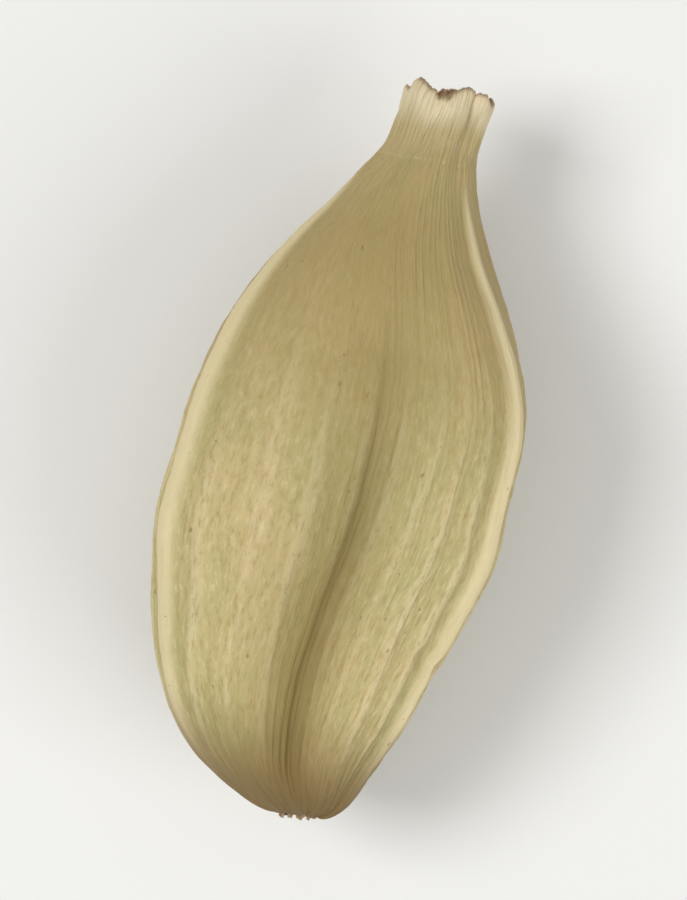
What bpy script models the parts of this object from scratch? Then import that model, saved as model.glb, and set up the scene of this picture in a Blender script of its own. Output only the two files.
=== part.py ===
"""Green cardamom pod: a dried fruit that grew as one piece, so it is one solid.

The pod lies along Y with its stalk scar at -Y and its beak at +Y. It rests on a small flat spot
on the crest of its lowest lobe, and the furrow between its two upper lobes faces +Z. The origin
is on the floor under the middle of the pod. Sizes are in millimetres until the last step.
"""

import math

import bmesh
import bpy
from mathutils import Vector

MM = 0.001

POD_LENGTH = 17.9
POD_HALF_WIDTH = 4.36

# The outline seen from above, from the pit of the stalk scar to the beak's rim and down into its
# cup. Each row is a place along the pod as a share of its length, then the half-width there and
# how far the middle bows to +X, both as shares of the greatest half-width.
OUTLINE = (
    (0.024, 0.000, 0.000),
    (0.008, 0.080, 0.000),
    (0.000, 0.160, -0.005),
    (0.018, 0.310, -0.045),
    (0.062, 0.500, -0.130),
    (0.125, 0.668, -0.172),
    (0.200, 0.788, -0.175),
    (0.285, 0.884, -0.137),
    (0.380, 0.984, -0.078),
    (0.470, 1.000, -0.040),
    (0.560, 0.992, -0.010),
    (0.645, 0.893, 0.008),
    (0.720, 0.740, 0.014),
    (0.785, 0.580, 0.026),
    (0.838, 0.450, 0.058),
    (0.885, 0.352, 0.090),
    (0.930, 0.270, 0.138),
    (0.970, 0.242, 0.175),
    (1.000, 0.232, 0.205),
    (0.994, 0.165, 0.205),
    (0.970, 0.085, 0.190),
    (0.964, 0.000, 0.185),
)

# Each lobe's section is a circle whose centre stands off the pod's middle by this share of the
# half-width. The lobes are full along the body and fade towards the stalk and the beak.
LOBE_COUNT = 3
LOBE_OFFSET = 0.56
LOBES_AT_STALK = 0.6
LOBES_FULL_FROM = 0.10
LOBES_FULL_TO = 0.64
LOBES_GONE_AT = 0.93

# How sharply neighbouring lobes meet: 1 is a sharp valley and a lower value rounds it.
STALK_SHARPNESS = 0.80
BEAK_SHARPNESS = 0.60
SHARP_TO = 0.26
BLUNT_FROM = 0.60

# The crease at the bottom of a furrow, deepest over the stalk half of the pod.
CREASE_DEPTH = 0.28
CREASE_SPREAD = math.radians(8.5)
CREASE_FROM = 0.00
CREASE_FULL_FROM = 0.07
CREASE_FULL_TO = 0.35
CREASE_TO = 0.75

# The raised line along each lobe's crest, and the finer ribs between those lines. An odd number
# of ribs on each lobe puts a valley in every furrow.
RIDGE_HEIGHT = 0.20
RIDGE_SPREAD = math.radians(4.5)
RIBS_PER_LOBE = 9
RIB_HEIGHT = 0.035
RIBS_FULL_FROM = 0.14
RIBS_FULL_TO = 0.80
RIBS_GONE_AT = 0.93

# The relief is rubbed smooth round the flat spot on the lowest crest.
WORN_MIDDLE = 0.46
WORN_ALONG = 0.20
WORN_AROUND = math.radians(24.0)

# Slow swells and hollows of the dried husk.
SWELL_HEIGHT = 0.07
SWELLS_AROUND = 2
SWELLS_ALONG = 2.5

# The pod is rolled about its length, a little more at the beak than at the stalk.
ROLL_AT_STALK = math.radians(0.0)
ROLL_AT_BEAK = math.radians(9.0)

# The furrow on top wanders towards +X on its way to the beak, which makes the lobe at -X the
# broader one, and comes back on the neck. The power keeps the shift to the skin near that furrow.
FURROW_SHIFT = math.radians(17.0)
FURROW_SHIFT_FROM = -0.45
FURROW_SHIFT_FULL_AT = 0.50
FURROW_BACK_FROM = 0.60
FURROW_BACK_SHARE = 0.90
FURROW_SHIFT_POWER = 12

# The beak's rim is uneven where the withered flower broke off.
RIM_FROM = 0.94
RIM_HALF_WIDTH = 0.232
RIM_UNEVENNESS = 0.10
RIM_WAVES = (3, 5)

# How much of the lowest crest is worn flat, which makes the spot that the pod rests on.
FLAT_DEPTH = 0.26

# Fineness of the skin, with four steps on each rib, and how much closer the steps along the pod
# stand at its two ends: 0 is even and 1 is as close as on a sphere.
STEPS_AROUND = LOBE_COUNT * RIBS_PER_LOBE * 4
STEPS_ALONG = 42
CLOSER_AT_ENDS = 0.5

HUSK_COLOUR = (0.50, 0.42, 0.20, 1.0)
HUSK_ROUGHNESS = 0.62


def clear_scene():
    """Remove every object of the scene."""
    for item in list(bpy.data.objects):
        bpy.data.objects.remove(item, do_unlink=True)


def ease(low, high, value):
    """Return 0 up to low, 1 from high on, and a smooth rise between them."""
    share = min(max((value - low) / (high - low), 0.0), 1.0)
    return share * share * (3.0 - 2.0 * share)


def blend(start, end, share):
    """Return the value that lies a share of the way from start to end."""
    return start + (end - start) * share


def outline_rows():
    """Return the outline's rows in mm and the distance along the outline to each of them."""
    scale = (POD_LENGTH, POD_HALF_WIDTH, POD_HALF_WIDTH)
    rows = [Vector(size * unit for size, unit in zip(row, scale)) for row in OUTLINE]
    reach = [0.0]
    for start, end in zip(rows, rows[1:]):
        reach.append(reach[-1] + (end - start).length)
    return rows, reach


def outline_point(rows, reach, share):
    """Return place along, half-width and bow in mm, a share of the way along the outline.

    The line runs smoothly through every row.
    """
    target = share * reach[-1]
    index = 0
    while index < len(rows) - 2 and reach[index + 1] < target:
        index += 1
    step = (target - reach[index]) / (reach[index + 1] - reach[index])
    start = rows[index]
    end = rows[index + 1]
    rise = end - start
    leaving = (end - rows[max(index - 1, 0)]) / 2.0
    arriving = (rows[min(index + 2, len(rows) - 1)] - start) / 2.0
    square = rise * 3.0 - leaving * 2.0 - arriving
    cube = leaving + arriving - rise * 2.0
    return start + leaving * step + square * step ** 2 + cube * step ** 3


def lobed_share(angle, along):
    """Return how far the plain lobes reach from the pod's middle, as a share of the half-width.

    The angle is counted from the lowest lobe's crest, and along is a share of the length.
    """
    fullness = blend(LOBES_AT_STALK, 1.0, ease(0.0, LOBES_FULL_FROM, along))
    fullness *= 1.0 - ease(LOBES_FULL_TO, LOBES_GONE_AT, along)
    offset = LOBE_OFFSET * fullness
    lobe_radius = 1.0 - offset * math.sin(math.pi / LOBE_COUNT)
    sharpness = blend(STALK_SHARPNESS, BEAK_SHARPNESS, ease(SHARP_TO, BLUNT_FROM, along))
    rounded = math.acos(sharpness * math.cos(LOBE_COUNT * angle)) / LOBE_COUNT
    side = offset * math.sin(rounded)
    return offset * math.cos(rounded) + math.sqrt(lobe_radius ** 2 - side ** 2)


def relief(angle, along):
    """Return the height in mm of creases, ridges, ribs and swells on the widest part."""
    from_crest = math.acos(math.cos(LOBE_COUNT * angle)) / LOBE_COUNT
    from_furrow = math.pi / LOBE_COUNT - from_crest
    crease = ease(CREASE_FROM, CREASE_FULL_FROM, along)
    crease *= 1.0 - ease(CREASE_FULL_TO, CREASE_TO, along)
    ribbed = ease(0.0, RIBS_FULL_FROM, along)
    ribbed *= 1.0 - ease(RIBS_FULL_TO, RIBS_GONE_AT, along)
    worn = ((along - WORN_MIDDLE) / WORN_ALONG) ** 2 + (angle / WORN_AROUND) ** 2
    ribbed *= 1.0 - math.exp(-(worn ** 2))
    swell = math.sin(SWELLS_AROUND * angle + SWELLS_ALONG * math.tau * along)
    height = RIDGE_HEIGHT * ribbed * math.exp(-(from_crest / RIDGE_SPREAD) ** 2)
    height += RIB_HEIGHT * ribbed * math.cos(LOBE_COUNT * RIBS_PER_LOBE * angle)
    height += SWELL_HEIGHT * ribbed * swell
    height -= CREASE_DEPTH * crease * math.exp(-(from_furrow / CREASE_SPREAD) ** 2)
    return height


def skin_point(row, angle):
    """Return a point of the skin in mm at an angle round one point of the outline."""
    along = row[0] / POD_LENGTH
    width_share = row[1] / POD_HALF_WIDTH
    radius = row[1] * lobed_share(angle, along) + relief(angle, along) * width_share
    shift = FURROW_SHIFT * ease(FURROW_SHIFT_FROM, FURROW_SHIFT_FULL_AT, along)
    shift *= 1.0 - FURROW_BACK_SHARE * ease(FURROW_BACK_FROM, 1.0, along)
    shift *= math.sin(angle / 2.0) ** FURROW_SHIFT_POWER
    turned = angle - shift + blend(ROLL_AT_STALK, ROLL_AT_BEAK, along)
    rim = RIM_UNEVENNESS * ease(RIM_FROM, 1.0, along) * width_share / RIM_HALF_WIDTH
    y = row[0] + rim * sum(math.cos(waves * angle) for waves in RIM_WAVES)
    return Vector((row[2] + radius * math.sin(turned), y, -radius * math.cos(turned)))


def grow_husk():
    """Return the closed skin of the pod: a sphere whose points all move by the formula."""
    rows, reach = outline_rows()
    shape = bmesh.new()
    bmesh.ops.create_uvsphere(shape, u_segments=STEPS_AROUND, v_segments=STEPS_ALONG, radius=1.0)
    for vertex in shape.verts:
        angle = math.atan2(-vertex.co.y, vertex.co.x)
        even = math.acos(min(max(-vertex.co.z, -1.0), 1.0)) / math.pi
        crowded = (1.0 - math.cos(math.pi * even)) / 2.0
        row = outline_point(rows, reach, blend(even, crowded, CLOSER_AT_ENDS))
        vertex.co = skin_point(row, angle)
    return shape


def rest_on_flat_spot(shape):
    """Wear the lowest crest flat and set the origin on the floor under the pod's middle."""
    places = [vertex.co for vertex in shape.verts]
    low = Vector(min(place[axis] for place in places) for axis in range(3))
    high = Vector(max(place[axis] for place in places) for axis in range(3))
    middle = (low + high) / 2.0
    foot = Vector((middle.x, middle.y, low.z + FLAT_DEPTH))
    bmesh.ops.translate(shape, verts=shape.verts, vec=-foot)
    bmesh.ops.scale(shape, verts=shape.verts, vec=(MM, MM, MM))
    bmesh.ops.bisect_plane(
        shape,
        geom=shape.verts[:] + shape.edges[:] + shape.faces[:],
        plane_co=(0.0, 0.0, 0.0),
        plane_no=(0.0, 0.0, -1.0),
        clear_outer=True,
    )
    edges = [edge for edge in shape.edges if edge.is_boundary]
    for edge in edges:
        for vertex in edge.verts:
            vertex.co.z = 0.0
    bmesh.ops.contextual_create(shape, geom=edges)
    bmesh.ops.recalc_face_normals(shape, faces=shape.faces)


def husk_material():
    """Return the pale green, straw-like finish of the husk."""
    material = bpy.data.materials.new("husk")
    material.use_nodes = True
    shader = material.node_tree.nodes["Principled BSDF"]
    shader.inputs["Base Color"].default_value = HUSK_COLOUR
    shader.inputs["Roughness"].default_value = HUSK_ROUGHNESS
    shader.inputs["Metallic"].default_value = 0.0
    return material


def make_pod():
    """Make the pod's object in a collection of its own."""
    shape = grow_husk()
    rest_on_flat_spot(shape)
    mesh = bpy.data.meshes.new("cardamom_pod")
    shape.to_mesh(mesh)
    shape.free()
    mesh.shade_smooth()
    mesh.materials.append(husk_material())
    collection = bpy.data.collections.new("green_cardamom_pod")
    bpy.context.scene.collection.children.link(collection)
    collection.objects.link(bpy.data.objects.new("cardamom_pod", mesh))


def main():
    """Build the whole model."""
    clear_scene()
    make_pod()


main()
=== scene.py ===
"""Looks of a dried green cardamom pod, in Blender 4.5.

The pod's plain solid comes with the frame and gives the place and the size. This script grows the
visible husk over it by the same rule with its veins, wrinkles and ragged ends, adds the withered
flower in the beak and the broken fibres of the stalk, and dresses and lights them. Lengths in the
forms are in millimetres, and each recipe turns its result into metres.
"""

from __future__ import annotations

import logging
import math
from dataclasses import dataclass, fields
from enum import Enum
from types import SimpleNamespace

import bpy
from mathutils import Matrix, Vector

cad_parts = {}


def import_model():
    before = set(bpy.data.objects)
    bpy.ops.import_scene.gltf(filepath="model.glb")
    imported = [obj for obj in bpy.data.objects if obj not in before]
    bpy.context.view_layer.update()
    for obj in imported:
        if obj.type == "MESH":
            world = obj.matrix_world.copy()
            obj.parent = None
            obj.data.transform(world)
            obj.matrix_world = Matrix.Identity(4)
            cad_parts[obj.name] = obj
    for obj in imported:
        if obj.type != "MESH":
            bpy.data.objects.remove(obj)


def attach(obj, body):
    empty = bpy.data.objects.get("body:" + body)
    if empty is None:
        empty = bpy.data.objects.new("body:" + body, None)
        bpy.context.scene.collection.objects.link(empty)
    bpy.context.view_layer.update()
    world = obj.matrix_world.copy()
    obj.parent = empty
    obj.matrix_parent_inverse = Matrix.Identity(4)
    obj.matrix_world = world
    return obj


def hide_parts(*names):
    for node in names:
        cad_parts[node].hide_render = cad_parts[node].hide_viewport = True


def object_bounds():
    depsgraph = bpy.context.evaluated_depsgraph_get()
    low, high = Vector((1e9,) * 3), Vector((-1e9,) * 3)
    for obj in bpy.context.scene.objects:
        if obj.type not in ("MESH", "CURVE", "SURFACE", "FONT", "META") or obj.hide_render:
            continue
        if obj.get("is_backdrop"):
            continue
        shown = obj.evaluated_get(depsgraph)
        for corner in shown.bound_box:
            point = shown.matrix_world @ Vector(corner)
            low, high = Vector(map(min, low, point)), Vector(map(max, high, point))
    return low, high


LOG = logging.getLogger("cardamom")

MM = 0.001
CAD_NODE = "cardamom_pod"
BODY = "root"

Row = tuple[float, float, float]
Colour = tuple[float, float, float]


class Mark(str, Enum):
    """The named attributes, of three numbers each, that the husk's recipe leaves on its points.

    PLACE is the cosine and the sine of the angle round the pod, then the share of its length.
    RELIEF is how much of a ridge, of a crease and of a rib there is. ZONES is how much of the
    ribbed body there is, how much painted shade lies along a furrow, then the share of the outline.
    """

    PLACE = "husk_place"
    RELIEF = "husk_relief"
    ZONES = "husk_zones"


class Formula:
    """A number in a node tree; sums and functions of it add the nodes that work them out."""

    def __init__(self, tree: bpy.types.NodeTree, socket: bpy.types.NodeSocket) -> None:
        """Wrap an output socket.

        Args:
            tree: The node tree that the socket is in.
            socket: The output that gives the number.
        """
        self.tree = tree
        self.socket = socket

    def step(self, operation: str, *others: Formula | float) -> Formula:
        """Add one Math node that starts with this number.

        Args:
            operation: The Math node's operation.
            others: The numbers that follow this one.

        Returns:
            The node's result.
        """
        node = self.tree.nodes.new("ShaderNodeMath")
        node.operation = operation
        for place, value in enumerate((self, *others)):
            join(self.tree, value, node.inputs[place])
        return Formula(self.tree, node.outputs[0])

    def __add__(self, other: Formula | float) -> Formula:
        """Return the sum."""
        return self.step("ADD", other)

    def __sub__(self, other: Formula | float) -> Formula:
        """Return this number less the other."""
        return self.step("SUBTRACT", other)

    def __rsub__(self, other: float) -> Formula:
        """Return the other number less this one."""
        return (self * -1.0) + other

    def __mul__(self, other: Formula | float) -> Formula:
        """Return the product."""
        return self.step("MULTIPLY", other)

    def __truediv__(self, other: Formula | float) -> Formula:
        """Return this number divided by the other."""
        return self.step("DIVIDE", other)

    __radd__ = __add__
    __rmul__ = __mul__

    def squared(self) -> Formula:
        """Return the square."""
        return self * self

    def sine(self) -> Formula:
        """Return the sine."""
        return self.step("SINE")

    def cosine(self) -> Formula:
        """Return the cosine."""
        return self.step("COSINE")

    def hill(self, spread: Formula | float) -> Formula:
        """Return 1 at zero, falling away smoothly over a spread on both sides."""
        return ((self / spread).squared() * -1.0).step("EXPONENT")

    def kept_between(self, low: float, high: float) -> Formula:
        """Return the number, no lower than low and no higher than high."""
        return self.step("MAXIMUM", low).step("MINIMUM", high)


Value = Formula | bpy.types.NodeSocket | float | int | bool | str | tuple


def join(tree: bpy.types.NodeTree, value: Value, target: bpy.types.NodeSocket) -> None:
    """Link a value into a socket, or set the socket to it.

    Args:
        tree: The node tree.
        value: A formula or an output to link, or a plain value to set.
        target: The input socket.
    """
    if isinstance(value, Formula):
        tree.links.new(value.socket, target)
    elif isinstance(value, bpy.types.NodeSocket):
        tree.links.new(value, target)
    else:
        target.default_value = value


class Recipe:
    """A node tree being written, with short ways to add and join nodes."""

    def __init__(self, tree: bpy.types.NodeTree) -> None:
        """Keep the tree to write in."""
        self.tree = tree

    def add(self, kind: str, *values: Value | None, **settings: object) -> bpy.types.Node:
        """Add a node.

        Args:
            kind: Blender's name for the kind of node.
            values: What its inputs take, in their order; None leaves one as it is.
            settings: The node's own properties.

        Returns:
            The node.
        """
        node = self.tree.nodes.new(kind)
        for name, setting in settings.items():
            setattr(node, name, setting)
        for place, value in enumerate(values):
            if value is not None:
                join(self.tree, value, node.inputs[place])
        return node

    def number(self, socket: bpy.types.NodeSocket) -> Formula:
        """Return an output as a number to work with."""
        return Formula(self.tree, socket)

    def ease(self, low: Formula | float, high: Formula | float, value: Formula) -> Formula:
        """Return 0 up to low, 1 from high on, and a smooth rise between them."""
        node = self.add("ShaderNodeMapRange", value, low, high, interpolation_type="SMOOTHSTEP")
        return self.number(node.outputs[0])

    def vector(self, x: Value, y: Value, z: Value) -> bpy.types.NodeSocket:
        """Return a vector made of three numbers."""
        return self.add("ShaderNodeCombineXYZ", x, y, z).outputs[0]

    def parts(self, vector: bpy.types.NodeSocket) -> tuple[Formula, Formula, Formula]:
        """Return the three numbers of a vector."""
        node = self.add("ShaderNodeSeparateXYZ", vector)
        return tuple(self.number(output) for output in node.outputs)

    def mixed(self, operation: str, *values: Value) -> bpy.types.NodeSocket:
        """Return the result of a Vector Math node."""
        return self.add("ShaderNodeVectorMath", *values, operation=operation).outputs[0]

    def scaled(self, vector: Value, factor: Formula | float) -> bpy.types.NodeSocket:
        """Return a vector times a number."""
        node = self.add("ShaderNodeVectorMath", vector, operation="SCALE")
        join(self.tree, factor, node.inputs["Scale"])
        return node.outputs[0]

    def noise(
        self,
        place: bpy.types.NodeSocket,
        stretch: Row,
        detail: float = 2.0,
        roughness: float = 0.5,
        shift: float = 0.0,
    ) -> Formula:
        """Return smooth random values between about -1 and 1.

        Args:
            place: Where on the surface.
            stretch: How many swells there are to a unit on each axis.
            detail: How many finer layers are added.
            roughness: How strong the finer layers are.
            shift: A place of its own in the pattern, for a pattern unlike the others.

        Returns:
            The value at the place.
        """
        moved = self.mixed("MULTIPLY_ADD", place, stretch, (shift, shift * 1.7, shift * 2.3))
        node = self.add("ShaderNodeTexNoise", moved)
        node.inputs["Scale"].default_value = 1.0
        node.inputs["Detail"].default_value = detail
        node.inputs["Roughness"].default_value = roughness
        return self.number(node.outputs[0]) * 2.0 - 1.0


class GrowthRecipe(Recipe):
    """A Geometry Nodes tree with named sizes, which grows one plain mesh."""

    def __init__(self, name: str) -> None:
        """Start the tree, with a geometry input and a geometry output."""
        super().__init__(bpy.data.node_groups.new(name, "GeometryNodeTree"))
        for way in ("INPUT", "OUTPUT"):
            self.tree.interface.new_socket(
                name="Geometry", in_out=way, socket_type="NodeSocketGeometry"
            )
        self.start = self.add("NodeGroupInput")
        self.values: dict[str, float] = {}

    def sizes(self, form: object) -> SimpleNamespace:
        """Give the tree a named input for each number of a form.

        Args:
            form: A dataclass whose float fields are the sizes.

        Returns:
            The inputs as formulas, under the names of the fields.
        """
        found = SimpleNamespace()
        for item in fields(form):
            value = getattr(form, item.name)
            if isinstance(value, float):
                label = item.name.replace("_", " ")
                socket = self.tree.interface.new_socket(
                    name=label, in_out="INPUT", socket_type="NodeSocketFloat"
                )
                self.values[socket.identifier] = value
                setattr(found, item.name, self.number(self.start.outputs[label]))
        return found

    def keep(
        self, geometry: bpy.types.NodeSocket, mark: Mark, value: bpy.types.NodeSocket
    ) -> bpy.types.NodeSocket:
        """Return the geometry with a vector stored on its points under a mark's name."""
        node = self.add(
            "GeometryNodeStoreNamedAttribute", geometry, data_type="FLOAT_VECTOR", domain="POINT"
        )
        node.inputs["Name"].default_value = mark.value
        join(self.tree, value, node.inputs["Value"])
        return node.outputs[0]

    def recall(self, mark: Mark) -> bpy.types.NodeSocket:
        """Return the vector that was stored on the points under a mark's name."""
        node = self.add("GeometryNodeInputNamedAttribute", mark.value, data_type="FLOAT_VECTOR")
        return node.outputs[0]

    def moved(self, geometry: bpy.types.NodeSocket, offset: Value) -> bpy.types.NodeSocket:
        """Return the geometry with its points moved by an offset."""
        node = self.add("GeometryNodeSetPosition", geometry)
        join(self.tree, offset, node.inputs["Offset"])
        return node.outputs[0]

    def finish(self, geometry: bpy.types.NodeSocket, finish: bpy.types.Material) -> None:
        """End the tree: real geometry, smooth faces and one material."""
        real = self.add("GeometryNodeRealizeInstances", geometry).outputs[0]
        smooth = self.add("GeometryNodeSetShadeSmooth", real).outputs[0]
        dressed = self.add("GeometryNodeSetMaterial", smooth)
        dressed.inputs["Material"].default_value = finish
        self.add("NodeGroupOutput", dressed.outputs[0])

    def grow(self, seed: bpy.types.Mesh, name: str) -> bpy.types.Object:
        """Run the tree on a mesh.

        Args:
            seed: The mesh that the tree starts from.
            name: The name of the piece.

        Returns:
            A new object at the origin that holds the result as a plain mesh.
        """
        piece = bpy.data.objects.new(name, seed)
        bpy.context.scene.collection.objects.link(piece)
        growth = piece.modifiers.new("growth", "NODES")
        growth.node_group = self.tree
        for identifier, value in self.values.items():
            growth[identifier] = value
        graph = bpy.context.evaluated_depsgraph_get()
        grown = bpy.data.meshes.new_from_object(
            piece.evaluated_get(graph), preserve_all_data_layers=True, depsgraph=graph
        )
        piece.modifiers.clear()
        piece.data = grown
        grown.name = name
        return piece


@dataclass(frozen=True)
class HuskForm:
    """The husk: three lobes round a bowed middle line, with furrows, ridges, ribs and wrinkles.

    Lengths are in mm and angles in radians. Places along the pod are shares of its length. The
    plain form is the rule that the solid follows, and the fields from vein_height on are finer.
    """

    length: float = 17.9
    half_width: float = 4.36
    lobe_count: float = 3.0
    lobe_offset: float = 0.56
    lobes_at_stalk: float = 0.6
    lobes_full_from: float = 0.10
    lobes_full_to: float = 0.64
    lobes_gone_at: float = 0.93
    stalk_sharpness: float = 0.80
    beak_sharpness: float = 0.60
    sharp_to: float = 0.26
    blunt_from: float = 0.60
    crease_depth: float = 0.28
    crease_spread: float = math.radians(8.5)
    crease_full_from: float = 0.07
    crease_full_to: float = 0.35
    crease_to: float = 0.75
    ridge_height: float = 0.20
    ridge_spread: float = math.radians(4.5)
    ribs_per_lobe: float = 9.0
    rib_height: float = 0.035
    ribs_full_from: float = 0.14
    ribs_full_to: float = 0.80
    ribs_gone_at: float = 0.93
    worn_middle: float = 0.46
    worn_along: float = 0.20
    worn_around: float = math.radians(24.0)
    swell_height: float = 0.07
    swells_around: float = 2.0
    swells_along: float = 2.5
    roll_at_stalk: float = math.radians(0.0)
    roll_at_beak: float = math.radians(9.0)
    furrow_shift: float = math.radians(17.0)
    furrow_shift_from: float = -0.45
    furrow_shift_full_at: float = 0.50
    furrow_back_from: float = 0.60
    furrow_back_share: float = 0.90
    furrow_shift_power: float = 12.0
    rim_from: float = 0.94
    rim_half_width: float = 0.232
    rim_unevenness: float = 0.10
    rim_waves_few: float = 3.0
    rim_waves_many: float = 5.0
    flat_depth: float = 0.26
    closer_at_ends: float = 0.25
    # The next four sizes shape a band of painted shade along each furrow, leaned onto the furrow's
    # wall that faces away from the key light.
    valley_spread: float = math.radians(19.0)
    valley_lean: float = math.radians(5.0)
    valley_full_to: float = 0.55
    valley_to: float = 1.0
    rib_wander: float = math.radians(7.0)
    rib_narrowness: float = 2.4
    vein_height: float = 0.012
    veins_around: float = 81.0
    vein_wander: float = math.radians(6.0)
    strand_height: float = 0.022
    calm_from: float = 0.42
    calm_at: float = 0.78
    calm_share: float = 0.70
    sag_height: float = 0.075
    crumple_height: float = 0.050
    crinkle_height: float = 0.014
    shrivel_height: float = 0.060
    pinch_depth: float = 0.11
    pinch_place: float = 0.237
    pinch_slope: float = 0.072
    pinch_spread: float = 0.015
    pinch_angle: float = math.radians(125.0)
    pinch_reach: float = math.radians(20.0)

    STEPS_AROUND = 486
    STEPS_ALONG = 200
    OUTLINE_STEPS = 24
    SEAM_GAP = 0.0002

    # A place along the pod, the half-width and the bow of the middle to +X, as in the solid.
    OUTLINE = (
        (0.024, 0.000, 0.000),
        (0.008, 0.080, 0.000),
        (0.000, 0.160, -0.005),
        (0.018, 0.310, -0.045),
        (0.062, 0.500, -0.130),
        (0.125, 0.668, -0.172),
        (0.200, 0.788, -0.175),
        (0.285, 0.884, -0.137),
        (0.380, 0.984, -0.078),
        (0.470, 1.000, -0.040),
        (0.560, 0.992, -0.010),
        (0.645, 0.893, 0.008),
        (0.720, 0.740, 0.014),
        (0.785, 0.580, 0.026),
        (0.838, 0.450, 0.058),
        (0.885, 0.352, 0.090),
        (0.930, 0.270, 0.138),
        (0.970, 0.242, 0.175),
        (1.000, 0.232, 0.205),
        (0.994, 0.165, 0.205),
        (0.970, 0.085, 0.190),
        (0.964, 0.000, 0.185),
    )

    def seed(self) -> bpy.types.Mesh:
        """Return the outline's rows, in mm, as a line of points."""
        scale = (self.length, self.half_width, self.half_width)
        points = [[size * unit for size, unit in zip(row, scale)] for row in self.OUTLINE]
        mesh = bpy.data.meshes.new("pod_outline")
        mesh.from_pydata(points, [(n, n + 1) for n in range(len(points) - 1)], [])
        return mesh

    def grow(self, finish: bpy.types.Material) -> bpy.types.Object:
        """Return the finished husk.

        Args:
            finish: The husk's material.

        Returns:
            The husk's object, at the origin.
        """
        recipe = GrowthRecipe("husk_growth")
        size = recipe.sizes(self)
        skin = self._plain_skin(recipe, size)
        skin = self._placed(recipe, size, skin)
        skin = self._wrinkled(recipe, size, skin)
        recipe.finish(skin, finish)
        return recipe.grow(self.seed(), "pod_husk")

    def _plain_skin(self, recipe: GrowthRecipe, size: SimpleNamespace) -> bpy.types.NodeSocket:
        """Return the closed skin in mm, by the solid's own rule, with its marks stored."""
        grid = recipe.add(
            "GeometryNodeMeshGrid", 1.0, 1.0, self.STEPS_AROUND + 1, self.STEPS_ALONG + 1
        ).outputs[0]
        across, up, _ = recipe.parts(recipe.add("GeometryNodeInputPosition").outputs[0])
        angle = (across + 0.5) * math.tau
        even = 0.5 - up
        crowded = (1.0 - (even * math.pi).cosine()) * 0.5
        share = even + (crowded - even) * size.closer_at_ends
        along_mm, wide, bow = recipe.parts(self._outline_point(recipe, share))
        along = along_mm / size.length
        width_share = wide / size.half_width
        place = recipe.vector(angle.cosine(), angle.sine(), along)

        body = recipe.ease(0.0, size.ribs_full_from, along)
        body *= 1.0 - recipe.ease(size.ribs_full_to, size.ribs_gone_at, along)
        from_bottom = (angle + math.pi).step("MODULO", math.tau) - math.pi
        worn = ((along - size.worn_middle) / size.worn_along).squared()
        worn = worn + (from_bottom / size.worn_around).squared()
        body *= 1.0 - worn.hill(1.0)
        crease = recipe.ease(0.0, size.crease_full_from, along)
        crease *= 1.0 - recipe.ease(size.crease_full_to, size.crease_to, along)

        folded = (angle * size.lobe_count).cosine().kept_between(-1.0, 1.0)
        from_crest = folded.step("ARCCOSINE") / size.lobe_count
        from_furrow = math.pi / HuskForm.lobe_count - from_crest
        past_furrow = ((angle * size.lobe_count).sine() * -1.0).step("ARCTAN2", folded * -1.0)
        # A band of painted shade along each furrow, leaned onto its wall that faces away from the key
        # light and fading out towards the beak.
        valley = (past_furrow / size.lobe_count - size.valley_lean).hill(size.valley_spread)
        valley *= recipe.ease(0.0, size.crease_full_from, along)
        valley *= 1.0 - recipe.ease(size.valley_full_to, size.valley_to, along)
        ridge = from_crest.hill(size.ridge_spread) * body
        crease *= from_furrow.hill(size.crease_spread)
        swell = (angle * size.swells_around + along * size.swells_along * math.tau).sine()
        wander = recipe.noise(place, (2.6, 2.6, 2.0), detail=2.0, shift=4.0)
        rib_angle = angle + wander * size.rib_wander
        waves = (rib_angle * size.lobe_count * size.ribs_per_lobe).cosine()
        narrow = ((waves * 0.5 + 0.5).step("POWER", size.rib_narrowness) - 0.35) * 2.0
        uneven = 1.0 + recipe.noise(place, (3.1, 3.1, 1.5), detail=1.0, shift=9.0) * 1.8
        calm = 1.0 - recipe.ease(size.calm_from, size.calm_at, along) * size.calm_share
        ribs = narrow * uneven.kept_between(0.1, 2.0) * body * calm
        height = ridge * size.ridge_height
        height += ribs * size.rib_height
        height += swell * body * size.swell_height
        height -= crease * size.crease_depth

        radius = wide * self._lobed(recipe, size, angle, along) + height * width_share
        wandered = recipe.ease(size.furrow_shift_from, size.furrow_shift_full_at, along)
        back = recipe.ease(size.furrow_back_from, 1.0, along) * size.furrow_back_share
        shift = wandered * (1.0 - back) * size.furrow_shift
        shift *= (angle * 0.5).sine().step("POWER", size.furrow_shift_power)
        turned = angle - shift + size.roll_at_stalk
        turned += (size.roll_at_beak - size.roll_at_stalk) * along
        rim = recipe.ease(size.rim_from, 1.0, along) * size.rim_unevenness
        rim *= width_share / size.rim_half_width
        waves = (angle * size.rim_waves_few).cosine() + (angle * size.rim_waves_many).cosine()
        spot = recipe.vector(
            bow + radius * turned.sine(), along_mm + rim * waves, radius * turned.cosine() * -1.0
        )

        skin = recipe.keep(grid, Mark.PLACE, place)
        skin = recipe.keep(skin, Mark.RELIEF, recipe.vector(ridge, crease, ribs))
        skin = recipe.keep(skin, Mark.ZONES, recipe.vector(body, valley, share))
        skin = recipe.add("GeometryNodeSetPosition", skin, True, spot).outputs[0]
        closed = recipe.add("GeometryNodeMergeByDistance", skin)
        closed.inputs["Distance"].default_value = self.SEAM_GAP
        return closed.outputs[0]

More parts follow.
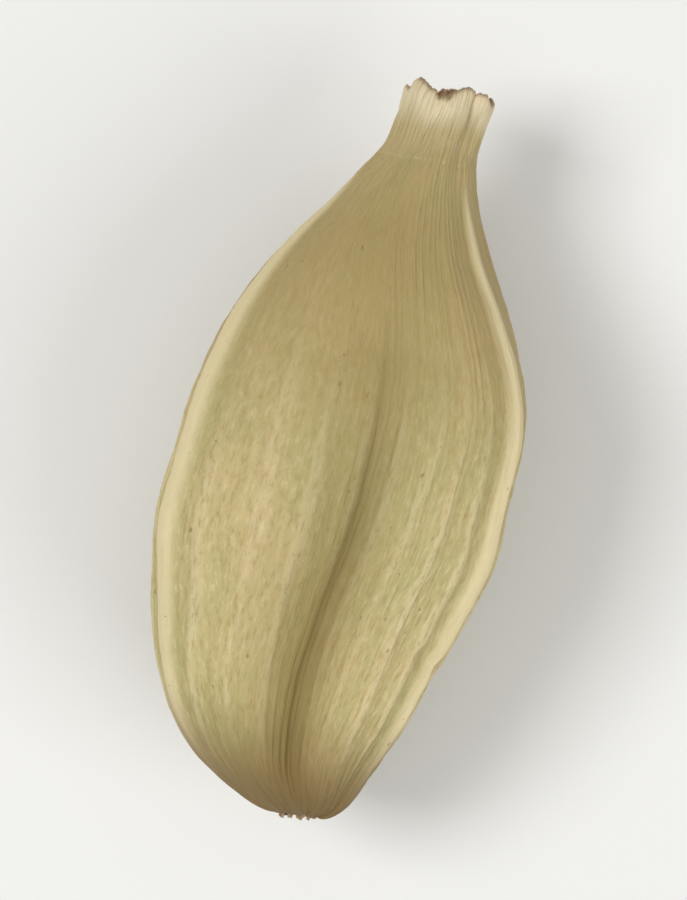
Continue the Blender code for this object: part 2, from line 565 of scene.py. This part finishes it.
    def _outline_point(self, recipe: GrowthRecipe, share: Formula) -> bpy.types.NodeSocket:
        """Return the point a share of the way along a smooth line through the outline's rows."""
        curve = recipe.add("GeometryNodeMeshToCurve", recipe.start.outputs[0]).outputs[0]
        curve = recipe.add("GeometryNodeCurveSplineType", curve, spline_type="CATMULL_ROM").outputs[0]
        fine = recipe.add("GeometryNodeSetSplineResolution", curve)
        fine.inputs["Resolution"].default_value = self.OUTLINE_STEPS
        sample = recipe.add("GeometryNodeSampleCurve", fine.outputs[0], mode="FACTOR")
        join(recipe.tree, share, sample.inputs["Factor"])
        return sample.outputs["Position"]

    def _lobed(
        self, recipe: GrowthRecipe, size: SimpleNamespace, angle: Formula, along: Formula
    ) -> Formula:
        """Return how far the plain lobes reach, as a share of the half-width."""
        rising = recipe.ease(0.0, size.lobes_full_from, along)
        fullness = size.lobes_at_stalk + (1.0 - size.lobes_at_stalk) * rising
        fullness *= 1.0 - recipe.ease(size.lobes_full_to, size.lobes_gone_at, along)
        offset = fullness * size.lobe_offset
        lobe_radius = 1.0 - offset * math.sin(math.pi / HuskForm.lobe_count)
        blunted = recipe.ease(size.sharp_to, size.blunt_from, along)
        sharpness = size.stalk_sharpness + (size.beak_sharpness - size.stalk_sharpness) * blunted
        rounded = ((angle * size.lobe_count).cosine() * sharpness).step("ARCCOSINE")
        rounded = rounded / size.lobe_count
        side = offset * rounded.sine()
        inner = (lobe_radius.squared() - side.squared()).step("SQRT")
        return offset * rounded.cosine() + inner

    def _placed(
        self, recipe: GrowthRecipe, size: SimpleNamespace, skin: bpy.types.NodeSocket
    ) -> bpy.types.NodeSocket:
        """Return the skin with its middle over the origin and its foot below the floor."""
        box = recipe.add("GeometryNodeBoundBox", skin)
        ends = recipe.mixed("ADD", box.outputs["Min"], box.outputs["Max"])
        across, lengthways, _ = recipe.parts(recipe.scaled(ends, -0.5))
        _, _, lowest = recipe.parts(box.outputs["Min"])
        lift = (lowest + size.flat_depth) * -1.0
        return recipe.moved(skin, recipe.vector(across, lengthways, lift))

    def _wrinkled(
        self, recipe: GrowthRecipe, size: SimpleNamespace, skin: bpy.types.NodeSocket
    ) -> bpy.types.NodeSocket:
        """Return the skin with veins, strands, crumples and the pinch, pressed flat, in metres."""
        place = recipe.recall(Mark.PLACE)
        cosine, sine, along = recipe.parts(place)
        body, _, outline = recipe.parts(recipe.recall(Mark.ZONES))
        angle = sine.step("ARCTAN2", cosine)

        wander = recipe.noise(place, (3.2, 3.2, 2.4), detail=2.0, shift=17.0) * size.vein_wander
        veins = ((angle + wander) * size.veins_around).cosine()
        broken = recipe.noise(place, (7.0, 7.0, 5.0), detail=1.0, shift=23.0) + 0.5
        calm = 1.0 - recipe.ease(size.calm_from, size.calm_at, along) * size.calm_share
        height = veins * broken.kept_between(0.0, 1.0) * calm * size.vein_height
        strands = recipe.noise(place, (12.0, 12.0, 3.0), detail=3.0, shift=1.0)
        height += strands * calm * size.strand_height
        height += recipe.noise(place, (2.3, 2.3, 1.6), detail=1.0, shift=6.0) * size.sag_height
        crumple = recipe.noise(place, (3.6, 3.6, 13.0), detail=3.0, shift=3.0)
        height += crumple * size.crumple_height
        crinkle = recipe.noise(place, (10.0, 10.0, 48.0), detail=1.0, shift=8.0)
        height += crinkle * size.crinkle_height
        shrivel = recipe.noise(place, (8.0, 8.0, 5.0), detail=3.0, shift=5.0)
        height += shrivel * (1.0 - body) * size.shrivel_height
        pinch_line = size.pinch_place + (angle - size.pinch_angle) * size.pinch_slope
        pinch = (along - pinch_line).hill(size.pinch_spread)
        pinch *= (angle - size.pinch_angle).hill(size.pinch_reach)
        height -= pinch * size.pinch_depth
        height *= 1.0 - recipe.ease(0.950, 0.975, outline) * 0.8

        normal = recipe.add("GeometryNodeInputNormal").outputs[0]
        here = recipe.add("GeometryNodeInputPosition").outputs[0]
        x, y, z = recipe.parts(recipe.mixed("ADD", here, recipe.scaled(normal, height)))
        pressed = recipe.vector(x * MM, y * MM, z.step("MAXIMUM", 0.0) * MM)
        return recipe.add("GeometryNodeSetPosition", skin, True, pressed).outputs[0]


class FinishRecipe(Recipe):
    """A material being written round one Principled BSDF."""

    def __init__(self, name: str) -> None:
        """Start a material with its shader."""
        self.material = bpy.data.materials.new(name)
        self.material.use_nodes = True
        super().__init__(self.material.node_tree)
        self.shader = self.tree.nodes["Principled BSDF"]

    def mark(self, mark: Mark) -> bpy.types.NodeSocket:
        """Return a vector that the growth recipe left on the points."""
        node = self.add("ShaderNodeAttribute", attribute_name=mark.value)
        return node.outputs["Vector"]

    def tint(
        self, share: Formula | float, under: bpy.types.NodeSocket | Colour, over: Colour
    ) -> bpy.types.NodeSocket:
        """Return a colour with a share of another laid over it.

        Args:
            share: How much of the upper colour shows, from 0 to 1.
            under: The lower colour.
            over: The upper colour.

        Returns:
            The mixed colour.
        """
        node = self.add("ShaderNodeMix", data_type="RGBA", clamp_factor=True)
        join(self.tree, share, node.inputs[0])
        for socket, colour in ((node.inputs[6], under), (node.inputs[7], over)):
            if isinstance(colour, tuple):
                colour = (*colour, 1.0)
            join(self.tree, colour, socket)
        return node.outputs[2]

    def constant(self, levels: dict[str, float | tuple]) -> None:
        """Set values that are the same all over on the shader's own sockets."""
        for name, level in levels.items():
            self.shader.inputs[name].default_value = level

    def drive(self, name: str, value: Value) -> None:
        """Link a value that changes over the surface into the shader."""
        join(self.tree, value, self.shader.inputs[name])

    def raise_surface(self, height: Formula, distance: float, strength: float) -> None:
        """Give the shader a bump from a height between 0 and 1.

        Args:
            height: The height over the surface.
            distance: How far 1 stands out, in metres.
            strength: How much of it shows, from 0 to 1.
        """
        bump = self.add("ShaderNodeBump")
        bump.inputs["Strength"].default_value = strength
        bump.inputs["Distance"].default_value = distance
        join(self.tree, height, bump.inputs["Height"])
        self.drive("Normal", bump.outputs[0])


def dry_fibre_group() -> bpy.types.NodeTree:
    """Return the shader node group for dry plant fibre, shared by every finish.

    Its inputs are a place on the surface, the count of strands and of grains to a unit round the
    pod and along it, and how much of the surface the flecks take. It puts out strands, patches,
    grain, flecks and a height, each between 0 and 1.
    """
    tree = bpy.data.node_groups.new("dry_fibre", "ShaderNodeTree")
    face = tree.interface
    face.new_socket(name="Place", in_out="INPUT", socket_type="NodeSocketVector")
    for name in ("Strands Around", "Strands Along", "Grains Around", "Grains Along", "Fleck Share"):
        face.new_socket(name=name, in_out="INPUT", socket_type="NodeSocketFloat")
    for name in ("Strands", "Patches", "Grain", "Flecks", "Height"):
        face.new_socket(name=name, in_out="OUTPUT", socket_type="NodeSocketFloat")
    recipe = Recipe(tree)
    start = recipe.add("NodeGroupInput")
    place = start.outputs["Place"]
    stretched, fine_place = (
        recipe.mixed(
            "MULTIPLY",
            place,
            recipe.vector(*(start.outputs[f"{kind} {way}"] for way in ("Around", "Around", "Along"))),
        )
        for kind in ("Strands", "Grains")
    )
    coarse = recipe.noise(stretched, (1.0, 1.0, 1.0), detail=3.0, roughness=0.6)
    fine = recipe.noise(stretched, (3.3, 3.3, 2.1), detail=3.0, roughness=0.65, shift=7.0)
    patches = recipe.noise(place, (1.4, 1.4, 3.4), detail=3.0, roughness=0.55, shift=13.0)
    grain = recipe.noise(fine_place, (1.0, 1.0, 1.0), detail=4.0, roughness=0.7, shift=31.0)
    specks = recipe.noise(fine_place, (0.60, 0.60, 1.50), detail=1.0, roughness=0.4, shift=21.0)
    edge = 1.0 - recipe.number(start.outputs["Fleck Share"])
    end = recipe.add("NodeGroupOutput")
    for name, value in (
        ("Strands", (coarse * 0.6 + fine * 0.4) * 0.5 + 0.5),
        ("Patches", patches * 0.5 + 0.5),
        ("Grain", grain * 0.5 + 0.5),
        ("Flecks", recipe.ease(edge, edge + 0.12, specks)),
        ("Height", (coarse * 0.30 + fine * 0.30 + grain * 0.40) * 0.5 + 0.5),
    ):
        join(tree, value, end.inputs[name])
    return tree


@dataclass(frozen=True)
class FibreLevels:
    """How one finish uses the shared fibre group: strands and grains to a unit, and flecks."""

    around: float
    along: float
    grains_around: float
    grains_along: float
    fleck_share: float

    def place_in(
        self, recipe: FinishRecipe, fibre: bpy.types.NodeTree, place: bpy.types.NodeSocket
    ) -> SimpleNamespace:
        """Add the group to a material with these values.

        Args:
            recipe: The material being written.
            fibre: The shared group.
            place: The place on the surface.

        Returns:
            The group's strands, patches, grain, flecks and height as formulas.
        """
        node = recipe.add("ShaderNodeGroup", node_tree=fibre)
        levels = (getattr(self, item.name) for item in fields(self))
        for value, socket in zip((place, *levels), node.inputs):
            join(recipe.tree, value, socket)
        return SimpleNamespace(
            **{output.name.lower(): recipe.number(output) for output in node.outputs}
        )


@dataclass(frozen=True)
class HuskFinish:
    """The dry husk: straw green, its ridge crests paler and partly a painted highlight, painted shade
    in its furrows and creases, and darker and browner towards both ends.
    """

    straw: Colour = (0.595, 0.470, 0.222)
    green: Colour = (0.485, 0.430, 0.185)
    vein: Colour = (0.400, 0.305, 0.120)
    # Paler fibres and ridge crests; on the crests part of it is a painted highlight.
    ridge: Colour = (0.760, 0.650, 0.385)
    # Painted shade laid along the furrows.
    valley: Colour = (0.320, 0.245, 0.078)
    # Painted shade down in each crease.
    crease: Colour = (0.220, 0.150, 0.048)
    neck: Colour = (0.400, 0.290, 0.113)
    foot: Colour = (0.480, 0.362, 0.165)
    # The cup's own brown, darkened further by painted shade inside the hollow.
    cup: Colour = (0.110, 0.060, 0.028)
    rim: Colour = (0.700, 0.550, 0.360)
    stalk: Colour = (0.205, 0.128, 0.040)
    fleck: Colour = (0.240, 0.150, 0.065)
    roughness: float = 0.58
    bump_height: float = 0.00008
    veins_around: float = 81.0
    vein_wander: float = math.radians(6.0)
    levels: FibreLevels = FibreLevels(
        around=16.0, along=2.4, grains_around=40.0, grains_along=52.0, fleck_share=0.50
    )

    def build(self, fibre: bpy.types.NodeTree) -> bpy.types.Material:
        """Return the husk's material.

        Args:
            fibre: The shared fibre group.

        Returns:
            The material.
        """
        recipe = FinishRecipe("dry_husk")
        place = recipe.mark(Mark.PLACE)
        cosine, sine, along = recipe.parts(place)
        ridge, crease, rib = recipe.parts(recipe.mark(Mark.RELIEF))
        body, valley, outline = recipe.parts(recipe.mark(Mark.ZONES))
        fibres = self.levels.place_in(recipe, fibre, place)
        wander = recipe.noise(place, (3.2, 3.2, 2.4), detail=2.0, shift=17.0) * self.vein_wander
        veins = ((sine.step("ARCTAN2", cosine) + wander) * self.veins_around).cosine()
        broken = recipe.noise(place, (7.0, 7.0, 5.0), detail=1.0, shift=23.0) + 0.5
        veins = (veins * 0.5 + 0.5).squared() * broken.kept_between(0.0, 1.0)

        patch = recipe.ease(0.38, 0.62, fibres.patches)
        colour = recipe.tint(patch, self.straw, self.green)
        colour = recipe.tint(recipe.ease(0.0, -0.8, rib) * 0.30, colour, self.green)
        colour = recipe.tint(recipe.ease(0.2, 1.3, rib) * 0.40, colour, self.ridge)
        colour = recipe.tint(recipe.ease(0.50, 0.30, fibres.strands) * 0.30, colour, self.vein)
        colour = recipe.tint(recipe.ease(0.52, 0.75, fibres.strands) * 0.30, colour, self.ridge)
        colour = recipe.tint(veins * 0.18, colour, self.ridge)
        colour = recipe.tint(recipe.ease(0.52, 0.30, fibres.grain) * 0.75, colour, self.vein)
        colour = recipe.tint(recipe.ease(0.52, 0.72, fibres.grain) * 0.60, colour, self.ridge)
        # Darker and browner from the middle towards the neck, easing off near the beak.
        darker_towards_neck = recipe.ease(0.36, 0.80, along) * 0.75 - recipe.ease(0.80, 0.93, along) * 0.35
        colour = recipe.tint(darker_towards_neck, colour, self.neck)
        # Painted shade along the furrows, strongest towards the stalk end.
        furrow_shade_share = valley * (0.94 - recipe.ease(0.16, 0.48, along) * 0.40)
        colour = recipe.tint(furrow_shade_share, colour, self.valley)
        # Painted shade down in each crease.
        colour = recipe.tint(crease * 0.46, colour, self.crease)
        # Pale ridge crests: partly the husk's own paler ridges, partly a painted highlight where
        # light catches them.
        colour = recipe.tint(recipe.ease(0.0, 0.75, ridge) * 0.85, colour, self.ridge)
        colour = recipe.tint(recipe.ease(0.17, 0.01, along) * 0.90, colour, self.stalk)
        colour = recipe.tint(fibres.flecks * 0.6, colour, self.fleck)
        colour = recipe.tint(recipe.ease(0.840, 0.885, outline) * 0.60, colour, self.foot)
        colour = recipe.tint(recipe.ease(0.885, 0.925, outline) * 0.75, colour, self.rim)
        # The cup inside the beak: its brown with painted shade over it.
        colour = recipe.tint(recipe.ease(0.945, 0.960, outline), colour, self.cup)
        recipe.drive("Base Color", colour)
        recipe.drive("Roughness", fibres.strands * -0.2 + (self.roughness + 0.1))
        recipe.raise_surface(fibres.height * 0.8 + veins * 0.2, self.bump_height, 0.9)
        recipe.constant(
            {"Subsurface Weight": 0.10, "Subsurface Scale": 0.0004, "Specular IOR Level": 0.30}
        )
        return recipe.material


@dataclass(frozen=True)
class CollarFinish:
    """The withered flower: as brown as the neck at its foot, then cream, with a dark torn edge."""

    foot: Colour = (0.480, 0.362, 0.165)
    cream: Colour = (0.740, 0.610, 0.390)
    vein: Colour = (0.500, 0.360, 0.190)
    edge: Colour = (0.360, 0.220, 0.110)
    roughness: float = 0.60
    bump_height: float = 0.00003
    levels: FibreLevels = FibreLevels(
        around=9.0, along=5.0, grains_around=9.0, grains_along=160.0, fleck_share=0.34
    )

    def build(self, fibre: bpy.types.NodeTree) -> bpy.types.Material:
        """Return the material.

        Args:
            fibre: The shared fibre group.

        Returns:
            The material.
        """
        recipe = FinishRecipe("withered_flower")
        place = recipe.mark(Mark.PLACE)
        outline = recipe.parts(recipe.mark(Mark.ZONES))[2]
        fibres = self.levels.place_in(recipe, fibre, place)
        climb = outline + (fibres.patches - 0.5) * 0.03
        colour = recipe.tint(recipe.ease(0.900, 0.932, climb), self.foot, self.cream)
        colour = recipe.tint(recipe.ease(0.52, 0.32, fibres.strands) * 0.7, colour, self.vein)
        colour = recipe.tint(recipe.ease(0.938, 0.943, outline) * 0.6, colour, self.edge)
        colour = recipe.tint(fibres.flecks * 0.5, colour, self.edge)
        recipe.drive("Base Color", colour)
        recipe.drive("Roughness", fibres.strands * -0.2 + (self.roughness + 0.1))
        recipe.raise_surface(fibres.height, self.bump_height, 0.8)
        recipe.constant({"Subsurface Weight": 0.15, "Subsurface Scale": 0.0004})
        return recipe.material


@dataclass(frozen=True)
class WitheredFinish:
    """Papery or fibrous remains, mottled from a light to a dark colour."""

    name: str
    light: Colour
    dark: Colour
    roughness: float
    levels: FibreLevels

    def build(self, fibre: bpy.types.NodeTree) -> bpy.types.Material:
        """Return the material.

        Args:
            fibre: The shared fibre group.

        Returns:
            The material.
        """
        recipe = FinishRecipe(self.name)
        place = recipe.scaled(recipe.add("ShaderNodeTexCoord").outputs["Object"], 1.0 / MM)
        fibres = self.levels.place_in(recipe, fibre, place)
        colour = recipe.tint(recipe.ease(0.35, 0.65, fibres.strands), self.dark, self.light)
        colour = recipe.tint(fibres.flecks * 0.7, colour, self.dark)
        recipe.drive("Base Color", colour)
        recipe.drive("Roughness", fibres.strands * -0.2 + (self.roughness + 0.1))
        recipe.raise_surface(fibres.height, 0.00002, 0.8)
        recipe.constant({"Subsurface Weight": 0.10, "Subsurface Scale": 0.0003})
        return recipe.material


@dataclass(frozen=True)
class WitheredFlower:
    """The torn, crumpled collar that the flower left on the beak, raised from the husk's skin.

    Lengths are in mm. The band that it is raised from is a stretch of the outline, from the
    stalk at 0 to the cup at 1.
    """

    name: str = "withered_flower"
    band_from: float = 0.870
    band_to: float = 0.943
    sunk: float = 0.05
    lift: float = 0.05
    foot_wander: float = 0.75
    height: float = 0.26
    tear_share: float = 1.4
    tears: float = 2.2
    flutter: float = 0.28
    folds: float = 3.2
    thickness: float = 0.045

    SEAM_GAP = 0.000001

    def grow(self, husk: bpy.types.Object, finish: bpy.types.Material) -> bpy.types.Object:
        """Return the collar, raised from the finished husk.

        Args:
            husk: The husk that carries the collar.
            finish: The collar's material.

        Returns:
            The collar's object, at the origin.
        """
        recipe = GrowthRecipe(self.name + "_growth")
        size = recipe.sizes(self)
        place = recipe.recall(Mark.PLACE)
        cosine, sine, _ = recipe.parts(place)
        outline = recipe.parts(recipe.recall(Mark.ZONES))[2]
        above = outline.step("GREATER_THAN", size.band_from)
        inside = above * outline.step("LESS_THAN", size.band_to)
        band = recipe.add(
            "GeometryNodeSeparateGeometry", recipe.start.outputs[0], inside, domain="FACE"
        ).outputs[0]

        climb = (outline - size.band_from) / (size.band_to - size.band_from)
        climb = climb.kept_between(0.0, 1.0)
        around = recipe.vector(cosine, sine, 0.0)
        torn = recipe.noise(recipe.scaled(around, size.tears), (1.0,) * 3, 5.0, 0.75, shift=41.0)
        tall = (1.0 - torn * size.tear_share).kept_between(0.1, 1.8) * size.height
        fold = recipe.noise(recipe.scaled(place, size.folds), (1.0, 1.0, 6.0), 2.0, shift=47.0)
        foot = recipe.noise(around, (3.5, 3.5, 1.0), 4.0, 0.65, shift=53.0) * size.foot_wander
        spread = recipe.ease(0.2, 0.9, climb + foot) * (size.lift + size.sunk) - size.sunk
        spread += climb.squared() * fold * size.flutter
        push = recipe.vector(sine * spread, climb.squared() * tall, cosine * spread * -1.0)
        collar = recipe.moved(band, recipe.scaled(push, MM))
        recipe.finish(self._thickened(recipe, size, collar), finish)
        return recipe.grow(husk.data.copy(), self.name)

    def _thickened(
        self, recipe: GrowthRecipe, size: SimpleNamespace, sheet: bpy.types.NodeSocket
    ) -> bpy.types.NodeSocket:
        """Return the sheet as a closed wall of the collar's thickness."""
        outer = recipe.add("GeometryNodeExtrudeMesh", sheet, mode="FACES")
        join(recipe.tree, size.thickness * MM, outer.inputs["Offset Scale"])
        outer.inputs["Individual"].default_value = False
        inner = recipe.add("GeometryNodeFlipFaces", sheet)
        both = recipe.add("GeometryNodeJoinGeometry")
        for wall in (inner, outer):
            recipe.tree.links.new(wall.outputs[0], both.inputs[0])
        closed = recipe.add("GeometryNodeMergeByDistance", both.outputs[0])
        closed.inputs["Distance"].default_value = self.SEAM_GAP
        return closed.outputs[0]


@dataclass(frozen=True)
class FibreTuft:
    """A tuft of small tapered strips that grow from one band of the husk's skin.

    Lengths are in mm. The band is a stretch of the outline, from the stalk at 0 to the cup at 1.
    """

    name: str
    band_from: float
    band_to: float
    spacing: float
    strip_length: float
    strip_width: float
    strip_flatness: float
    tip_share: float
    root_depth: float
    lean_out: float
    reach_along: float
    scatter: float
    shortest: float
    crook: float

    STRIP_SIDES = 6
    STRIP_RINGS = 6
    SEED = 7

    def grow(self, husk: bpy.types.Object, finish: bpy.types.Material) -> bpy.types.Object:
        """Return the tuft, grown on the finished husk.

        Args:
            husk: The husk that carries the tuft.
            finish: The tuft's material.

        Returns:
            The tuft's object, at the origin.
        """
        recipe = GrowthRecipe(self.name + "_growth")
        size = recipe.sizes(self)
        points = recipe.add(
            "GeometryNodeDistributePointsOnFaces",
            recipe.start.outputs[0],
            self._band(recipe, size),
            distribute_method="POISSON",
        )
        join(recipe.tree, size.spacing * MM, points.inputs["Distance Min"])
        points.inputs["Density Max"].default_value = 1.0e10
        points.inputs["Seed"].default_value = self.SEED
        tuft = recipe.add(
            "GeometryNodeInstanceOnPoints",
            points.outputs["Points"],
            None,
            self._strip(recipe, size),
        )
        join(recipe.tree, self._turn(recipe, size, points), tuft.inputs["Rotation"])
        length = self._random(recipe, size.shortest, 1.0, 3)
        join(recipe.tree, recipe.vector(1.0, 1.0, length), tuft.inputs["Scale"])
        real = recipe.add("GeometryNodeRealizeInstances", tuft.outputs[0]).outputs[0]
        recipe.finish(self._crooked(recipe, size, real), finish)
        return recipe.grow(husk.data.copy(), self.name)

    def _band(self, recipe: GrowthRecipe, size: SimpleNamespace) -> Formula:
        """Return whether a face lies in the band."""
        outline = recipe.parts(recipe.recall(Mark.ZONES))[2]
        above = outline.step("GREATER_THAN", size.band_from)
        return above * outline.step("LESS_THAN", size.band_to)

    def _strip(self, recipe: GrowthRecipe, size: SimpleNamespace) -> bpy.types.NodeSocket:
        """Return one closed, flattened strip that stands on its sunken root along Z, in metres."""
        cone = recipe.add("GeometryNodeMeshCone")
        cone.inputs["Vertices"].default_value = self.STRIP_SIDES
        cone.inputs["Side Segments"].default_value = self.STRIP_RINGS
        cone.inputs["Fill Segments"].default_value = 1
        join(recipe.tree, size.strip_width * size.tip_share * 0.5 * MM, cone.inputs["Radius Top"])
        join(recipe.tree, size.strip_width * 0.5 * MM, cone.inputs["Radius Bottom"])
        join(recipe.tree, (size.strip_length + size.root_depth) * MM, cone.inputs["Depth"])
        shaped = recipe.add("GeometryNodeTransform", cone.outputs["Mesh"])
        sunk = recipe.vector(0.0, 0.0, size.root_depth * -MM)
        join(recipe.tree, sunk, shaped.inputs["Translation"])
        flat = recipe.vector(1.0, size.strip_flatness, 1.0)
        join(recipe.tree, flat, shaped.inputs["Scale"])
        return shaped.outputs[0]

    def _random(
        self, recipe: GrowthRecipe, low: Formula | float, high: Formula | float, seed: int
    ) -> Formula:
        """Return an even random number for each strip."""
        node = recipe.add("FunctionNodeRandomValue", data_type="FLOAT")
        sockets = [socket for socket in node.inputs if socket.enabled]
        for socket, value in zip(sockets, (low, high)):
            join(recipe.tree, value, socket)
        sockets[-1].default_value = seed
        return recipe.number([socket for socket in node.outputs if socket.enabled][0])

    def _turn(
        self, recipe: GrowthRecipe, size: SimpleNamespace, points: bpy.types.Node
    ) -> bpy.types.NodeSocket:
        """Return each strip's turn: along the pod, out from the skin, and some at random."""
        outward = recipe.scaled(points.outputs["Normal"], size.lean_out)
        stray = recipe.vector(
            *(self._random(recipe, -1.0, 1.0, seed) * size.scatter for seed in (11, 12, 13))
        )
        lengthways = recipe.vector(0.0, size.reach_along, 0.0)
        aim = recipe.mixed("ADD", recipe.mixed("ADD", outward, stray), lengthways)
        turn = recipe.add("FunctionNodeAlignRotationToVector", axis="Z")
        join(recipe.tree, aim, turn.inputs["Vector"])
        face = recipe.add("FunctionNodeAlignRotationToVector", axis="Y", pivot_axis="Z")
        join(recipe.tree, turn.outputs[0], face.inputs["Rotation"])
        join(recipe.tree, points.outputs["Normal"], face.inputs["Vector"])
        return face.outputs[0]

    def _crooked(
        self, recipe: GrowthRecipe, size: SimpleNamespace, strips: bpy.types.NodeSocket
    ) -> bpy.types.NodeSocket:
        """Return the strips with small random bends."""
        here = recipe.add("GeometryNodeInputPosition").outputs[0]
        bends = recipe.vector(
            *(recipe.noise(here, (1900.0,) * 3, detail=1.0, shift=place) for place in (1.0, 5.0, 8.0))
        )
        return recipe.moved(strips, recipe.scaled(bends, size.crook * MM))


@dataclass(frozen=True)
class Pod:
    """The whole pod: the husk, the withered flower in its beak and the stalk's broken fibres."""

    husk: HuskForm = HuskForm()
    husk_finish: HuskFinish = HuskFinish()
    flower: WitheredFlower = WitheredFlower()
    style: FibreTuft = FibreTuft(
        name="style_stub",
        band_from=0.984,
        band_to=1.0,
        spacing=0.15,
        strip_length=0.55,
        strip_width=0.18,
        strip_flatness=0.6,
        tip_share=0.3,
        root_depth=0.08,
        lean_out=0.0,
        reach_along=1.0,
        scatter=0.22,
        shortest=0.5,
        crook=0.08,
    )
    stalk: FibreTuft = FibreTuft(
        name="stalk_fibres",
        band_from=0.0,
        band_to=0.026,
        spacing=0.13,
        strip_length=0.26,
        strip_width=0.17,
        strip_flatness=0.7,
        tip_share=0.6,
        root_depth=0.10,
        lean_out=0.0,
        reach_along=-1.0,
        scatter=0.35,
        shortest=0.4,
        crook=0.05,
    )
    flower_finish: CollarFinish = CollarFinish()
    stalk_finish: WitheredFinish = WitheredFinish(
        name="stalk_fibre",
        light=(0.520, 0.400, 0.220),
        dark=(0.200, 0.115, 0.050),
        roughness=0.7,
        levels=FibreLevels(
            around=8.0, along=3.0, grains_around=12.0, grains_along=12.0, fleck_share=0.30
        ),
    )

    def build(self) -> list[bpy.types.Object]:
        """Grow every piece and set it on the frame.

        Returns:
            The finished pieces.
        """
        fibre = dry_fibre_group()
        petals = self.flower_finish.build(fibre)
        wood = self.stalk_finish.build(fibre)
        husk = self.husk.grow(self.husk_finish.build(fibre))
        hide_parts(CAD_NODE)
        pieces = [
            husk,
            self.flower.grow(husk, petals),
            self.style.grow(husk, wood),
            self.stalk.grow(husk, wood),
        ]
        for piece in pieces:
            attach(piece, BODY)
            LOG.info("%s: %d faces", piece.name, len(piece.data.polygons))
        return pieces


@dataclass(frozen=True)
class SoftLight:
    """A square soft light that faces the pod, with its sizes in metres and its power in watts."""

    name: str
    direction: Row
    distance: float
    size: float
    power: float

    def build(self, centre: Vector) -> None:
        """Make the light.

        Args:
            centre: The middle of the pod.
        """
        data = bpy.data.lights.new(self.name, "AREA")
        data.size = self.size
        data.energy = self.power
        light = bpy.data.objects.new(self.name, data)
        towards = Vector(self.direction).normalized()
        light.location = centre + towards * self.distance
        light.rotation_euler = towards.to_track_quat("Z", "Y").to_euler()
        bpy.context.scene.collection.objects.link(light)


@dataclass(frozen=True)
class Studio:
    """A plain pale floor, soft lights and a camera that looks straight down on the pod."""

    floor_size: float = 0.60
    floor_drop: float = 0.00002
    floor_colour: Colour = (0.86, 0.86, 0.84)
    pod_share_of_height: float = 0.80
    pod_lean: float = math.radians(9.2)
    lens: float = 300.0
    sensor: float = 36.0
    world_level: float = 0.30

    LIGHTS = (
        SoftLight("key", direction=(-0.54, 0.02, 0.84), distance=0.40, size=0.16, power=0.78),
        SoftLight("fill", direction=(0.74, -0.34, 0.78), distance=0.45, size=0.30, power=0.72),
        SoftLight("top", direction=(0.0, -0.10, 1.0), distance=0.50, size=0.35, power=0.35),
    )

    def build(self, low: Vector, high: Vector) -> None:
        """Make the floor, the lights and the camera.

        Args:
            low: The pod's lowest corner.
            high: The pod's highest corner.
        """
        self._floor()
        centre = (low + high) / 2.0
        for light in self.LIGHTS:
            light.build(centre)
        self._world()
        self._camera(centre, high)

    def _floor(self) -> None:
        """Make the floor just below the pod's flat spot."""
        half = self.floor_size / 2.0
        corners = [(-half, -half), (half, -half), (half, half), (-half, half)]
        mesh = bpy.data.meshes.new("floor")
        mesh.from_pydata([(x, y, -self.floor_drop) for x, y in corners], [], [(0, 1, 2, 3)])
        recipe = FinishRecipe("pale_floor")
        recipe.constant({"Base Color": (*self.floor_colour, 1.0), "Roughness": 0.8})
        mesh.materials.append(recipe.material)
        floor = bpy.data.objects.new("floor", mesh)
        bpy.context.scene.collection.objects.link(floor)
        floor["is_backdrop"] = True

    def _world(self) -> None:
        """Make an even pale surrounding light."""
        world = bpy.data.worlds.new("studio")
        world.use_nodes = True
        background = world.node_tree.nodes["Background"]
        background.inputs["Color"].default_value = (1.0, 1.0, 1.0, 1.0)
        background.inputs["Strength"].default_value = self.world_level
        bpy.context.scene.world = world

    def _camera(self, centre: Vector, high: Vector) -> None:
        """Make the camera above the pod, turned so that the pod leans as in the photo."""
        length = 2.0 * (high.y - centre.y)
        seen = length * math.cos(self.pod_lean) / self.pod_share_of_height
        data = bpy.data.cameras.new("camera")
        data.lens = self.lens
        data.sensor_width = self.sensor
        data.clip_start = 0.01
        camera = bpy.data.objects.new("camera", data)
        distance = seen * self.lens / self.sensor
        camera.location = (centre.x, centre.y, centre.z + distance)
        camera.rotation_euler = (0.0, 0.0, self.pod_lean)
        bpy.context.scene.collection.objects.link(camera)
        bpy.context.scene.camera = camera


def corners(box: tuple[Vector, Vector]) -> list[list[float]]:
    """Return a box's two corners as plain lists."""
    return [list(corner) for corner in box]


def main() -> None:
    """Load the frame, build the pod and the studio, and work out the boxes before and after."""
    logging.basicConfig(level=logging.INFO, format="%(name)s: %(message)s")
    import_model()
    solid_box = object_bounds()
    bpy.context.scene.view_settings.view_transform = "Standard"
    Pod().build()
    Studio().build(*solid_box)
    {"cad": corners(solid_box), "visual": corners(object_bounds())}


if __name__ == "__main__":
    main()
